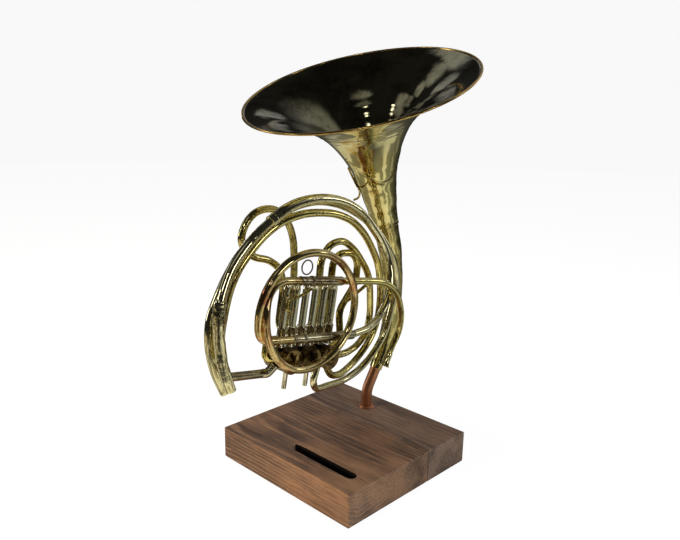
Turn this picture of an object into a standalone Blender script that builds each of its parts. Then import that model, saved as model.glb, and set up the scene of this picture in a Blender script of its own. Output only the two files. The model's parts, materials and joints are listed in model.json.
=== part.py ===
"""French horn on a walnut base: the bell and tubes of a single rotary horn stand on a copper
pipe, and a slot in the base feeds sound through a milled channel and the pipe to the bell.

Units are millimetres here and metres in the meshes.  The horn has its own frame: x is the depth
from the bell's plane towards the front, u runs back along the horn, w runs up it.
"""

import math

import bmesh
import bpy
from mathutils import Matrix, Vector

MM = 0.001

# ---------------------------------------------------------------- driving dimensions
BASE_W, BASE_D, BASE_H = 210.0, 203.0, 40.5
FELT_T, FELT_INSET = 1.5, 4.0
GAP = 0.3
BOARD_SPLIT = 0.65          # share of the depth that the front board takes
EDGE_EASE = 1.2
SLOT_X, SLOT_Y, SLOT_L, SLOT_W, SLOT_DEPTH = 36.0, -72.0, 100.0, 13.0, 24.0
CHANNEL_W, COVER_T = 16.0, 3.0
PIPE_X, PIPE_Y, PIPE_R, PIPE_WALL = -26.0, 68.2, 6.9, 0.9
PIPE_KNEE, PIPE_LEAN = 24.0, math.radians(31.8)   # height of the bend above the base, and lean
HORN_TILT = math.radians(-10.0)
HORN_Y = 69.0

BELL_R, BELL_WALL, RIM_R = 138.6, 0.6, 1.5
BELL_STATIONS = ((0.0, BELL_R), (5.0, 122.0), (16.0, 98.0), (36.0, 69.0), (62.0, 46.5),
                 (96.0, 30.0), (148.0, 19.0), (236.0, 13.5), (310.0, 10.2), (352.0, 8.7))
FLARE_LENGTH, THROAT_LENGTH = 78.0, 172.0

TUBE_R, TUBE_WALL = 4.1, 0.5            # crook, bows and slides
SLEEVE_R, SLIDE_SLEEVE_R = 5.0, 4.8
SIDES = 8
SAG, MAX_TURN = 0.7, math.radians(36.0)  # how far a faceted curve may stray from the true one

CROOK_X, RING_X = 58.0, 68.0            # depth of the crook's legs and of its ring
LEG_UPPER_W, LEG_LOWER_W = 178.0, 117.0
VALVE_X, VALVE_W, VALVE_R, VALVE_L = 38.0, 91.0, 13.3, 30.0
VALVE_U = (-197.0, -169.0, -141.0)
SLIDE_HALF = 7.0                        # half the spacing of a valve slide's legs
SLEEVE_TOP_W, SLIDE_TOP_W = 126.0, 172.0

# ---------------------------------------------------------------- materials
FINISHES = {
    "walnut": ((0.12, 0.055, 0.035), 0.55, 0.0),
    "felt": ((0.03, 0.03, 0.03), 0.95, 0.0),
    "copper": ((0.72, 0.34, 0.22), 0.35, 1.0),
    "brass": ((0.62, 0.53, 0.27), 0.25, 1.0),
    "dark_brass": ((0.22, 0.19, 0.10), 0.4, 1.0),
    "nickel": ((0.58, 0.57, 0.52), 0.3, 1.0),
}


def material(finish):
    """One Principled material for each finish, made the first time it is asked for."""
    found = bpy.data.materials.get(finish)
    if found:
        return found
    colour, roughness, metallic = FINISHES[finish]
    made = bpy.data.materials.new(finish)
    made.use_nodes = True
    shader = made.node_tree.nodes["Principled BSDF"]
    shader.inputs["Base Color"].default_value = (*colour, 1.0)
    shader.inputs["Roughness"].default_value = roughness
    shader.inputs["Metallic"].default_value = metallic
    made.diffuse_color = (*colour, 1.0)
    return made


# ---------------------------------------------------------------- mesh helpers
def add_object(name, bm, finish, parent=None, sharp=40.0):
    bmesh.ops.recalc_face_normals(bm, faces=bm.faces)
    mesh = bpy.data.meshes.new(name)
    bm.to_mesh(mesh)
    bm.free()
    mesh.shade_smooth()
    mesh.set_sharp_from_angle(angle=math.radians(sharp))
    if finish:
        mesh.materials.append(material(finish))
    made = bpy.data.objects.new(name, mesh)
    bpy.context.scene.collection.objects.link(made)
    made.parent = parent
    return made


def add_empty(name, location=(0, 0, 0), rotation=(0, 0, 0), parent=None):
    made = bpy.data.objects.new(name, None)
    made.location = Vector(location) * MM
    made.rotation_euler = rotation
    bpy.context.scene.collection.objects.link(made)
    made.parent = parent
    return made


def box_mesh(low, high):
    bm = bmesh.new()
    bmesh.ops.create_cube(bm, size=1.0)
    for vert in bm.verts:
        share = [value + 0.5 for value in vert.co]
        vert.co = Vector([(a + (b - a) * t) * MM for a, b, t in zip(low, high, share)])
    return bm


def combine(target, helper, operation="DIFFERENCE"):
    """Cuts the helper out of the target, or joins it on with UNION."""
    helper.hide_render = True
    helper.display_type = "WIRE"
    modifier = target.modifiers.new(helper.name, "BOOLEAN")
    modifier.operation = operation
    modifier.solver = "EXACT"
    modifier.object = helper


def frames_along(points):
    """Tangent and two side directions at each point, carried along without twist."""
    frames = []
    side = None
    for i, point in enumerate(points):
        ahead = points[min(i + 1, len(points) - 1)] - point
        behind = point - points[max(i - 1, 0)]
        tangent = (ahead.normalized() + behind.normalized()).normalized()
        if side is None:
            side = tangent.orthogonal()
        side = (side - tangent * side.dot(tangent)).normalized()
        frames.append((tangent, side, tangent.cross(side)))
    return frames


def ring_of_verts(bm, centre, side, other, radius, sides):
    ring = []
    for k in range(sides):
        angle = 2 * math.pi * k / sides
        place = centre + (side * math.cos(angle) + other * math.sin(angle)) * radius
        ring.append(bm.verts.new(place * MM))
    return ring


def join_rings(bm, first, second):
    count = len(first)
    for k in range(count):
        after = (k + 1) % count
        bm.faces.new((first[k], first[after], second[after], second[k]))


def tube_mesh(points, radii, walls, sides=SIDES):
    """A hollow tube along points; radii and walls hold a value for each point."""
    bm = bmesh.new()
    rings = []
    for point, radius, wall, (_, side, other) in zip(points, radii, walls, frames_along(points)):
        rings.append((ring_of_verts(bm, point, side, other, radius, sides),
                      ring_of_verts(bm, point, side, other, radius - wall, sides)))
    for (outer_a, inner_a), (outer_b, inner_b) in zip(rings, rings[1:]):
        join_rings(bm, outer_a, outer_b)
        join_rings(bm, inner_b, inner_a)
    join_rings(bm, rings[0][1], rings[0][0])
    join_rings(bm, rings[-1][0], rings[-1][1])
    return bm


def rod_mesh(points, radius, sides=SIDES):
    bm = bmesh.new()
    rings = [ring_of_verts(bm, point, side, other, radius, sides)
             for point, (_, side, other) in zip(points, frames_along(points))]
    for first, second in zip(rings, rings[1:]):
        join_rings(bm, first, second)
    bm.faces.new(rings[0])
    bm.faces.new(rings[-1])
    return bm


def turned_mesh(profile, sides, closed=False):
    """Turns (radius, height) pairs about Z; a closed profile makes a ring or a hollow shell."""
    bm = bmesh.new()
    rings = []
    for radius, height in profile:
        if radius == 0:
            rings.append([bm.verts.new(Vector((0, 0, height)) * MM)])
        else:
            rings.append(ring_of_verts(bm, Vector((0, 0, height)), Vector((1, 0, 0)),
                                       Vector((0, 1, 0)), radius, sides))
    pairs = list(zip(rings, rings[1:]))
    if closed:
        pairs.append((rings[-1], rings[0]))
    for first, second in pairs:
        if len(first) == 1 or len(second) == 1:
            tip, ring = (first, second) if len(first) == 1 else (second, first)
            for k in range(sides):
                bm.faces.new((tip[0], ring[k], ring[(k + 1) % sides]))
        else:
            join_rings(bm, first, second)
    return bm


# ---------------------------------------------------------------- paths
def bends(*corners, turn=30.0):
    """Straight runs joined by arcs; each inner corner is (x, u, w, bend radius)."""
    places = [Vector(corner[:3]) for corner in corners]
    points = [places[0]]
    for i in range(1, len(corners) - 1):
        into = (places[i] - places[i - 1]).normalized()
        away = (places[i + 1] - places[i]).normalized()
        angle = into.angle(away)
        trim = corners[i][3] * math.tan(angle / 2)
        axis = into.cross(away).normalized()
        start = places[i] - into * trim
        centre = start + axis.cross(into) * corners[i][3]
        steps = max(1, math.ceil(math.degrees(angle) / turn))
        for k in range(steps + 1):
            spin = Matrix.Rotation(angle * k / steps, 3, axis)
            points.append(centre + spin @ (start - centre))
    points.append(places[-1])
    return points


def flowing(*knots):
    """A smooth curve through the knots, with no more points than it needs."""
    places = [Vector(knot) for knot in knots]
    dense = []
    for i in range(len(places) - 1):
        a, b = places[i], places[i + 1]
        before = places[i - 1] if i else a * 2 - b
        after = places[i + 2] if i + 2 < len(places) else b * 2 - a
        span = (b - a).length
        leave = slope(before, a, b) * span
        arrive = slope(a, b, after) * span
        for k in range(8):
            t = k / 8
            dense.append(a * (2 * t**3 - 3 * t**2 + 1) + leave * (t**3 - 2 * t**2 + t)
                         + b * (3 * t**2 - 2 * t**3) + arrive * (t**3 - t**2))
    dense.append(places[-1])
    return thinned(dense)


def slope(before, here, after):
    """Direction of a smooth curve at a knot, weighted towards the nearer neighbour."""
    back, ahead = (here - before).length, (after - here).length
    mean = (here - before) / back * ahead + (after - here) / ahead * back
    return mean / (back + ahead)


def thinned(dense):
    """Drops the points that a straight run and the next keep within SAG of the curve."""
    points, start = [dense[0]], 0
    for i in range(2, len(dense)):
        chord = (dense[i] - dense[start]).normalized()
        strays = [(point - dense[start]).cross(chord).length for point in dense[start + 1:i]]
        bend = (dense[i] - dense[i - 1]).angle(dense[start + 1] - dense[start])
        if max(strays) > SAG or bend > MAX_TURN:
            points.append(dense[i - 1])
            start = i - 1
    points.append(dense[-1])
    return points


def tapered(points, start, end):
    """Outer radii that change evenly along the length."""
    lengths = [0.0]
    for a, b in zip(points, points[1:]):
        lengths.append(lengths[-1] + (b - a).length)
    return [start + (end - start) * length / lengths[-1] for length in lengths]


def point_along(points, distance):
    """Place at a distance along the points, with the direction there."""
    for a, b in zip(points, points[1:]):
        length = (b - a).length
        if distance <= length:
            return a.lerp(b, distance / length), (b - a).normalized()
        distance -= length
    return points[-1], (points[-1] - points[-2]).normalized()


def add_tube(name, points, start_r=TUBE_R, end_r=None, finish="brass", wall=TUBE_WALL,
             sides=SIDES, parent=None):
    radii = tapered(points, start_r, end_r or start_r)
    return add_object(name, tube_mesh(points, radii, [wall] * len(points), sides), finish,
                      parent)


def add_turned(name, profile, place, direction, finish, parent, sides=16, closed=False):
    """A turned piece whose own Z lies along direction, with its origin at place."""
    made = add_object(name, turned_mesh(profile, sides, closed), finish, parent)
    made.location = Vector(place) * MM
    made.rotation_mode = "QUATERNION"
    made.rotation_quaternion = Vector((0, 0, 1)).rotation_difference(Vector(direction))
    return made


def ferrule_profile(inner, outer, length):
    """A plain band with a bead at each end."""
    bead, half = 0.4, length / 2
    inside = half - length / 5
    return [(inner, -half), (outer + bead, -half), (outer, -inside), (outer, inside),
            (outer + bead, half), (inner, half)]


def add_ferrule(name, place, direction, inner, outer, length, parent, finish="brass"):
    add_turned(name, ferrule_profile(inner, outer, length), place, direction, finish, parent,
               sides=12, closed=True)


# ---------------------------------------------------------------- base
def slot_cutter():
    """A bar with round ends, from the slot's floor up through the top face."""
    bm = bmesh.new()
    half = SLOT_L / 2 - SLOT_W / 2
    outline = []
    for centre, first in ((half, -90), (-half, 90)):
        for k in range(7):
            angle = math.radians(first + 30 * k)
            outline.append((SLOT_X + centre + SLOT_W / 2 * math.cos(angle),
                            SLOT_Y + SLOT_W / 2 * math.sin(angle)))
    floor = [bm.verts.new(Vector((x, y, BASE_H - SLOT_DEPTH)) * MM) for x, y in outline]
    top = [bm.verts.new(Vector((x, y, BASE_H + 5)) * MM) for x, y in outline]
    join_rings(bm, floor, top)
    bm.faces.new(floor)
    bm.faces.new(top)
    return add_object("slot_cutter", bm, None)


def channel_cutters(bottom):
    """The milled way from the slot to the pipe, and the rebate for its cover."""
    low_x, high_x = PIPE_X - CHANNEL_W / 2, PIPE_X + CHANNEL_W / 2
    near, far = SLOT_Y - 4, PIPE_Y + CHANNEL_W / 2
    top = BASE_H - SLOT_DEPTH + 4
    way = add_object("way_cutter", box_mesh((low_x, near, bottom - 1), (high_x, far, top)), None)
    side = add_object("side_cutter", box_mesh((low_x + 2, SLOT_Y - 4, bottom + COVER_T + 1),
                                              (SLOT_X, SLOT_Y + 4, top - 1)), None)
    rebate = add_object("rebate_cutter", box_mesh((low_x - 4, near - 4, bottom - 1),
                                                  (high_x + 4, far + 4, bottom + COVER_T)), None)
    return way, side, rebate


def build_base():
    bottom = FELT_T + GAP
    half_w, half_d = BASE_W / 2, BASE_D / 2
    split = -half_d + BASE_D * BOARD_SPLIT
    front = add_object("base_front_board", box_mesh((-half_w, -half_d, bottom),
                                                    (half_w, split - GAP / 2, BASE_H)), "walnut")
    rear = add_object("base_rear_board", box_mesh((-half_w, split + GAP / 2, bottom),
                                                  (half_w, half_d, BASE_H)), "walnut")
    slot = slot_cutter()
    way, side, rebate = channel_cutters(bottom)
    bore = add_object("bore_cutter", turned_mesh([(0, -1), (PIPE_R + GAP, -1),
                                                  (PIPE_R + GAP, 30), (0, 30)], 24), None)
    bore.location = Vector((PIPE_X, PIPE_Y, BASE_H - 25)) * MM
    for board in (front, rear):
        ease = board.modifiers.new("ease", "BEVEL")
        ease.width = EDGE_EASE * MM
        ease.segments = 2
        ease.limit_method = "ANGLE"
    for cutter in (slot, way, side, rebate):
        combine(front, cutter)
    for cutter in (way, rebate, bore):
        combine(rear, cutter)
    low_x, high_x = PIPE_X - CHANNEL_W / 2 - 4, PIPE_X + CHANNEL_W / 2 + 4
    add_object("sound_channel_cover",
               box_mesh((low_x + GAP, SLOT_Y - 8 + GAP, bottom + GAP),
                        (high_x - GAP, PIPE_Y + CHANNEL_W / 2 + 4 - GAP, bottom + COVER_T - GAP)),
               "walnut")
    add_object("base_felt", box_mesh((-half_w + FELT_INSET, -half_d + FELT_INSET, 0),
                                     (half_w - FELT_INSET, half_d - FELT_INSET, FELT_T)), "felt")


# ---------------------------------------------------------------- copper pipe
def build_pipe():
    foot = add_empty("pipe_foot", (PIPE_X, PIPE_Y, BASE_H))
    collar = ferrule_profile(PIPE_R + GAP, PIPE_R + 1.4, 3.0)
    add_turned("copper_collar", collar, (0, 0, 1.8), (0, 0, 1), "copper", foot, closed=True)
    far = PIPE_KNEE + 37
    line = bends((0, 0, -20), (0, 0, PIPE_KNEE, 26),
                 (0, (far - PIPE_KNEE) * math.tan(PIPE_LEAN), far), turn=9)
    add_tube("copper_pipe", line, PIPE_R, finish="copper", wall=PIPE_WALL, sides=16, parent=foot)


# ---------------------------------------------------------------- bell
BELL_LINE = bends((-3, -95.5, 394), (-5.8, -69.7, 351.2, 200), (0, 1, 205, 130),
                  (0, 26, 135, 150), (0, 16, 76, 80), (0, 6, 51), turn=3)
LEFT_FRONT = Vector((-0.7, -0.7, 0.0))


def bell_radius(distance):
    """Outer radius of the bell, read from its stations on a log scale."""
    knots = [Vector((0.0, place, math.log(radius))) for place, radius in BELL_STATIONS]
    for i in range(len(knots) - 1):
        a, b = knots[i], knots[i + 1]
        if distance <= b.y or i == len(knots) - 2:
            before = knots[i - 1] if i else a * 2 - b
            after = knots[i + 2] if i + 2 < len(knots) else b * 2 - a
            rise = [slope(before, a, b), slope(a, b, after)]
            span = b.y - a.y
            t = (distance - a.y) / span
            first, second = (way.z / way.y * span for way in rise)
            value = (a.z * (2 * t**3 - 3 * t**2 + 1) + first * (t**3 - 2 * t**2 + t)
                     + b.z * (3 * t**2 - 2 * t**3) + second * (t**3 - t**2))
            return math.exp(value)


def bell_stretch(start, end, count, crowd):
    """Points, radii and walls along the bell line; crowd packs the points towards the start."""
    points, radii, walls = [], [], []
    for k in range(count + 1):
        distance = start + (end - start) * (k / count) ** crowd
        radius = bell_radius(distance)
        steepness = (radius - bell_radius(distance + 0.5)) / 0.5
        points.append(point_along(BELL_LINE, distance)[0])
        radii.append(radius)
        walls.append(BELL_WALL * math.hypot(1, steepness))
    return points, radii, walls


def beside_bell(distance, clearance):
    """A place on the bell's left front side, clear of its surface."""
    place, along = point_along(BELL_LINE, distance)
    out = (LEFT_FRONT - along * LEFT_FRONT.dot(along)).normalized()
    return place + out * (bell_radius(distance) + clearance)


def build_bell(horn):
    length = sum((b - a).length for a, b in zip(BELL_LINE, BELL_LINE[1:]))
    mouth, down = point_along(BELL_LINE, 0.0)
    turns = [2 * math.pi * k / 8 for k in range(8)]
    rim = [(BELL_R + RIM_R * math.cos(a), RIM_R * math.sin(a)) for a in turns]
    add_turned("bell_rim_wire", rim, mouth, -down, "brass", horn, sides=48, closed=True)
    start = 0.4
    while bell_radius(start) > BELL_R - RIM_R - GAP:
        start += 0.1
    stretches = (("bell_flare", start, FLARE_LENGTH, 9, 2.0, 48),
                 ("bell_throat", FLARE_LENGTH + GAP, THROAT_LENGTH, 5, 1.0, 24),
                 ("bell_tail", THROAT_LENGTH + GAP, length, 11, 1.0, 16))
    for name, first, last, count, crowd, sides in stretches:
        points, radii, walls = bell_stretch(first, last, count, crowd)
        add_object(name, tube_mesh(points, radii, walls, sides), "brass", horn)
    place, along = point_along(BELL_LINE, THROAT_LENGTH)
    inner = bell_radius(THROAT_LENGTH - 4) + 2 * GAP
    add_ferrule("bell_ferrule", place, along, inner, inner + 0.5, 5, horn)
    wire = flowing(beside_bell(94, 1.7), beside_bell(99, 1.8), beside_bell(115, 2.2),
                   (-3, -70, 275), (5, -78, 270.5), (14, -90, 267.5), (26, -109, 266))
    add_object("bell_brace_wire", rod_mesh(wire, 1.3, 6), "brass", horn)


# ---------------------------------------------------------------- long branches
def on_casing(number, degrees, clear=4 * GAP):
    """A place just off a valve casing's wall; 0 degrees points along u, 90 along w."""
    angle = math.radians(degrees)
    reach = VALVE_R + clear
    return (VALVE_X, VALVE_U[number - 1] + reach * math.cos(angle),
            VALVE_W + reach * math.sin(angle))


OUTER_LINE = flowing((58, -113, 118), (57, -90, 123), (54, -68, 136), (49, -52, 154),
                     (45, -46, 176), (40, -49, 198), (36, -60, 218), (33, -77, 235),
                     (31, -99, 251), (29, -119, 259), (28, -146, 262.5), (28, -168, 261),
                     (28, -193, 255), (28, -212, 246), (28, -226, 235.5))
DARK_LINE = flowing((28, -228, 234), (28, -243, 221), (28, -259, 203), (28, -271, 184),
                    (30, -279, 164), (32, -282.5, 152))
CUT_LINE = flowing((32, -283.2, 149), (32, -282, 132), (32, -279, 116), (32, -272, 92),
                   (32, -257, 61))
REAR_LINE = flowing((10, -246, 50), (8, -261, 75), (6, -270, 102), (4, -271, 127),
                    (4, -265, 150), (4, -255, 175), (4, -238, 201), (4, -207, 232),
                    (6, -172, 252), (8, -148, 258), (12, -116, 257), (18, -75, 243),
                    (22, -43, 221), (24, -19, 195), (24, -9, 173), (24, -9, 147), (24, -12, 124),
                    (24, -18, 103), (24, -32, 82), (25, -52, 65), (27, -82, 53), (31, -115, 50),
                    (35, -138, 51), (38, -146, 60), on_casing(3, -100, 6 * GAP))
INNER_LINE = flowing((19, -262, 90), (18, -266, 110), (18, -266, 132), (17, -260, 166),
                     (17, -254, 181), (17, -242, 199),
                     (18, -229, 215), (20, -212, 230), (22, -185, 242), (23, -157, 246.5),
                     (24, -127, 246), (25, -107, 241), (26, -86, 229), (26, -68, 213),
                     (26, -53, 195), (26, -43, 173), (26, -37, 148), (26, -37, 123),
                     (26, -43, 104), (27, -57, 86), (30, -80, 70), (35, -105, 63),
                     (38, -119, 65.5), on_casing(3, -50))


def build_branches(horn):
    add_tube("outer_branch", OUTER_LINE, 4.1, 5.9, wall=0.6, parent=horn)
    add_tube("dark_branch", DARK_LINE, 4.8, 4.9, "dark_brass", wall=0.6, parent=horn)
    add_tube("cut_branch", CUT_LINE, 6.3, 6.0, "dark_brass", wall=0.7, parent=horn, sides=10)
    add_tube("rear_branch", REAR_LINE, 5.0, 4.0, wall=0.6, parent=horn)
    add_tube("inner_branch", INNER_LINE, 4.6, 4.0, wall=0.6, parent=horn)
    joint = (Vector(OUTER_LINE[-1]) + Vector(DARK_LINE[0])) / 2
    along = (DARK_LINE[0] - OUTER_LINE[-1]).normalized()
    add_ferrule("outer_ferrule", joint, along, 6.2, 6.6, 7, horn)
    joint = (DARK_LINE[-1] + CUT_LINE[0]) / 2
    along = (CUT_LINE[0] - DARK_LINE[-1]).normalized()
    add_ferrule("cut_ferrule", joint, along, 7.3, 7.6, 6, horn)


# ---------------------------------------------------------------- crook
def oval(centre_u, centre_w, half_u, half_w, start, end, x_start, x_end, turn=22.5):
    """Points on part of an oval, with the depth changing evenly along it."""
    steps = math.ceil(abs(end - start) / turn)
    points = []
    for k in range(steps + 1):
        share = k / steps
        angle = math.radians(start + (end - start) * share)
        points.append(Vector((x_start + (x_end - x_start) * share,
                              centre_u + half_u * math.cos(angle),
                              centre_w + half_w * math.sin(angle))))
    return points


def coil_line():
    """From the upper leg round one and a half turns to the lower leg."""
    centre_u, centre_w, rise = -197.0, 148.0, 61.0
    legs_u = -205.0
    upper = bends((CROOK_X, legs_u, LEG_UPPER_W), (CROOK_X, -249, LEG_UPPER_W, 26),
                  (CROOK_X + 6, -251, centre_w))
    last = oval(centre_u, centre_w, 59.5, rise, 90, 195, RING_X, CROOK_X + 1)
    lower = bends(last[-1], (CROOK_X, centre_u - 54.6, LEG_LOWER_W, 14),
                  (CROOK_X, legs_u, LEG_LOWER_W))
    ring = oval(centre_u, centre_w, 54, rise, 180, 270, CROOK_X + 6, RING_X)
    ring += oval(centre_u, centre_w, 67, rise, 270, 450, RING_X, RING_X)[1:]
    return upper[:-1] + ring + last[1:] + lower[1:]


def build_crook(horn):
    slide = add_empty("crook_slide", (CROOK_X, -200, LEG_UPPER_W), parent=horn)
    shift = Vector((CROOK_X, -200, LEG_UPPER_W))
    line = [Vector((CROOK_X, -152, LEG_UPPER_W))] + coil_line()[1:-1]
    line += [Vector((CROOK_X, -152, LEG_LOWER_W))]
    coil = [point - shift for point in line]
    add_tube("crook_coil", coil, TUBE_R, parent=slide)
    for label, height in (("upper", LEG_UPPER_W), ("lower", LEG_LOWER_W)):
        add_ferrule("crook_ferrule_" + label, Vector((CROOK_X, -199, height)) - shift, (0, 1, 0),
                    TUBE_R + GAP, SLEEVE_R, 15, slide, "nickel")
        sleeve_end = -145 if label == "upper" else -115
        sleeve = [Vector((CROOK_X, -191, height)), Vector((CROOK_X, sleeve_end, height))]
        add_tube("crook_socket_" + label, sleeve, SLEEVE_R, finish="nickel", parent=horn, sides=12,
                 wall=SLEEVE_R - TUBE_R - GAP)
    turns = [2 * math.pi * k / 6 for k in range(6)]
    ring = [(7.4 + 0.8 * math.cos(a), 0.8 * math.sin(a)) for a in turns]
    lift = SLEEVE_R + 0.6 + GAP + 8.2
    add_turned("crook_pull_ring", ring, Vector((0, 1, lift)), (1, 0, 0), "nickel", slide,
               closed=True)


def build_leadpipe(horn):
    line = flowing((58, -144.5, LEG_UPPER_W), (58, -120, LEG_UPPER_W), (58, -99, LEG_UPPER_W),
                   (59, -80, 177), (60, -66, 173), (59, -50, 164), (56, -35, 148), (52, -24, 130),
                   (48, -20, 112), (46, -25, 95), (46, -29, 85))
    add_tube("leadpipe", line, 4.0, 3.8, parent=horn)
    receiver_start, receiver_end = Vector((46, -29.2, 84.5)), Vector((46, -34.5, 70.5))
    down = (receiver_end - receiver_start).normalized()
    profile = [(3.3, 0), (4.2, 0), (4.4, 9), (5.6, 14.5), (5.6, 15.5), (4.6, 15.5), (3.5, 9)]
    add_turned("mouthpiece_receiver", profile, receiver_start, down, "nickel", horn, sides=12,
               closed=True)


# ---------------------------------------------------------------- bows and braces
def build_bows(horn):
    big = flowing((20, -136, 105.5), (20, -137, 150), (20, -141, 176), (20, -141, 195),
                  (20, -132, 210),
                  (20, -114, 216.5), (19, -92, 209), (18, -73, 195), (17, -56, 178), (15, -43, 147),
                  (14, -38, 124), (15, -42, 105), (18, -56, 93), (25, -78, 87.5), (35, -105, 87.4),
                  on_casing(3, -15))
    add_tube("large_bow", big, TUBE_R, parent=horn)
    small = bends((24, -124, 101), (24, -127, 203, 17), (24, -86, 205, 19), (24, -84, 170, 22),
                  (26, -108, 137, 30), (36, -110, 106, 14), on_casing(3, 25), turn=30)
    add_tube("inner_bow", small, TUBE_R, parent=horn)
    loop = flowing((-14, -148, 131), (-14, -147, 159), (-14, -152, 194), (-14, -156, 210),
                   (-14, -168, 230), (-14, -186, 242), (-14, -205, 242), (-14, -218, 236),
                   (-14, -228, 222), (-14, -230, 208), (-14, -222, 196), (-14, -209, 190),
                   (-14, -189, 187), (-14, -171, 177), (-14, -163, 159), (-14, -162, 131))
    elbow_w = VALVE_W + 19
    first = bends((32.6, -148, elbow_w), (-14, -148, elbow_w, 9), (-14, -148, 130))
    last = bends((-14, -162, 130), (-14, -162, elbow_w, 9), (32.6, -162, elbow_w))
    add_tube("rear_crook", first[:-1] + loop + last[1:], TUBE_R, parent=horn)
    rod = rod_mesh([Vector((44, -89, 170)), Vector((44, -117, 152))], 2.0)
    add_object("brace_rod", rod, "brass", horn)
    hook = bends((49, -204, 143), (49, -211, 146, 3), (49, -211, 157, 4), (49, -197, 159, 4),
                 (49, -179, 168), turn=45)
    add_object("water_key_hook", rod_mesh(hook, 1.5, 6), "brass", horn)


# ---------------------------------------------------------------- valves
def build_valve(horn, number):
    centre_u = VALVE_U[number - 1]
    axle = add_empty(f"rotor_axis_{number}", (VALVE_X, centre_u, VALVE_W), parent=horn)
    half = VALVE_L / 2
    inner = VALVE_R - 2.0
    rear = VALVE_X - half
    forward = (1, 0, 0)
    place = (VALVE_X, centre_u, VALVE_W)
    casing = [(inner, -half), (VALVE_R, -half), (VALVE_R, half), (inner, half)]
    add_turned(f"valve_casing_{number}", casing, place, forward, "brass", horn, sides=20,
               closed=True)
    rotor = [(0, -half + 3), (inner - GAP, -half + 3), (inner - GAP, half - 3), (3.0, half - 3),
             (3.0, half + 4.4), (0, half + 4.4)]
    add_turned(f"valve_rotor_{number}", rotor, (0, 0, 0), forward, "brass", axle, sides=20)
    cover = [(0, -2.0), (6, -2.0), (VALVE_R, -0.6), (VALVE_R, 0), (inner - GAP, 0),
             (inner - GAP, 2.6), (0, 2.6)]
    add_turned(f"valve_cap_{number}", cover, (rear - GAP, centre_u, VALVE_W), forward, "brass",
               horn, sides=20)
    plate = box_mesh((half + 4.7, -3.2, -3.2), (half + 6.7, 3.2, 10))
    arm = add_object(f"stop_arm_{number}", plate, "brass", axle)
    arm.modifiers.new("round", "BEVEL").width = 0.8 * MM
    bearing = [(3.0 + GAP, -2.6), (inner - GAP, -2.6), (inner - GAP, GAP), (VALVE_R, GAP),
               (VALVE_R, 1.6), (3.0 + GAP, 1.6)]
    add_turned(f"valve_bearing_{number}", bearing, (VALVE_X + half, centre_u, VALVE_W), forward,
               "nickel", horn, sides=20, closed=True)


def build_slide(horn, number):
    centre_u = VALVE_U[number - 1]
    slide = add_empty(f"valve_slide_axis_{number}", (VALVE_X, centre_u, SLEEVE_TOP_W),
                      parent=horn)
    sleeves = []
    for label, side in (("pair", -1), ("right", 1)):
        leg_u = centre_u + side * SLIDE_HALF
        sleeve = [Vector((VALVE_X, leg_u, VALVE_W + VALVE_R + GAP)),
                  Vector((VALVE_X, leg_u, SLEEVE_TOP_W))]
        sleeves.append(add_tube(f"slide_sleeve_{label}_{number}", sleeve, SLIDE_SLEEVE_R,
                                finish="nickel", parent=horn))
    yoke_w = SLEEVE_TOP_W - 8
    ends = [Vector((VALVE_X, centre_u - side * 2.9, yoke_w)) for side in (1, -1)]
    yoke = add_object(f"sleeve_yoke_{number}", rod_mesh(ends, 1.6), None, horn)
    combine(sleeves[0], sleeves[1], "UNION")
    combine(sleeves[0], yoke, "UNION")
    reach = SLIDE_TOP_W - SLEEVE_TOP_W
    bow = bends((0, -SLIDE_HALF, -22), (0, -SLIDE_HALF, reach, 6.9), (0, SLIDE_HALF, reach, 6.9),
                (0, SLIDE_HALF, -22))
    add_tube(f"valve_slide_{number}", bow, 4.0, parent=slide)


def build_posts(horn):
    """The two lever posts under the casings, each drilled for its pin."""
    for number, post_u in enumerate((-192.0, -161.0), start=1):
        top_w = VALVE_W - VALVE_R - GAP
        length = top_w - 58
        post = add_turned(f"lever_post_{number}", [(0, 0), (2.6, 0), (2.6, -length), (0, -length)],
                          (40, post_u, top_w), (0, 0, 1), "brass", horn, sides=12)
        pin = add_turned(f"pin_cutter_{number}", [(0, -4), (1.0, -4), (1.0, 4), (0, 4)],
                         (40, post_u, 61), (1, 0, 0), None, horn, sides=8)
        combine(post, pin)


def build_lower_tubes(horn):
    connector = [Vector((33, -255.2, 75.5)), Vector((34, -221, 75.5))]
    add_tube("lower_connector", connector, 4.2, parent=horn)
    elbow = bends((34.2, -218.0, 75.5), (36, -214.5, 76, 5), on_casing(1, 212, 7 * GAP),
                  turn=15)
    add_tube("lower_connector_elbow", elbow, 4.9, finish="nickel", parent=horn)
    knuckle = bends(on_casing(1, 178), (36, -220.5, VALVE_W + 0.5, 6.5),
                    (36, -220.5, 112, 6.5), (VALVE_X - 1, -209.2, 112))
    add_tube("first_valve_knuckle", knuckle, TUBE_R, parent=horn)


def build_horn():
    horn = add_empty("horn_frame", (PIPE_X, HORN_Y, BASE_H), (HORN_TILT, 0, 0))
    build_bell(horn)
    build_branches(horn)
    build_crook(horn)
    build_leadpipe(horn)
    build_bows(horn)
    for number in (1, 2, 3):
        build_valve(horn, number)
        build_slide(horn, number)
    build_posts(horn)
    build_lower_tubes(horn)


def main():
    for old in list(bpy.data.objects):
        bpy.data.objects.remove(old)
    build_base()
    build_pipe()
    build_horn()


main()
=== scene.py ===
"""Looks of the french horn on its walnut base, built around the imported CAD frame.

Lengths are millimetres here and turn into metres when a mesh is made.  The horn has its own frame,
as in the CAD: x is the depth from the bell's plane towards the front, u runs back along the horn
and w runs up it.
"""

import json
import math

import bmesh
import bpy
from mathutils import Matrix, Vector, noise

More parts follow.
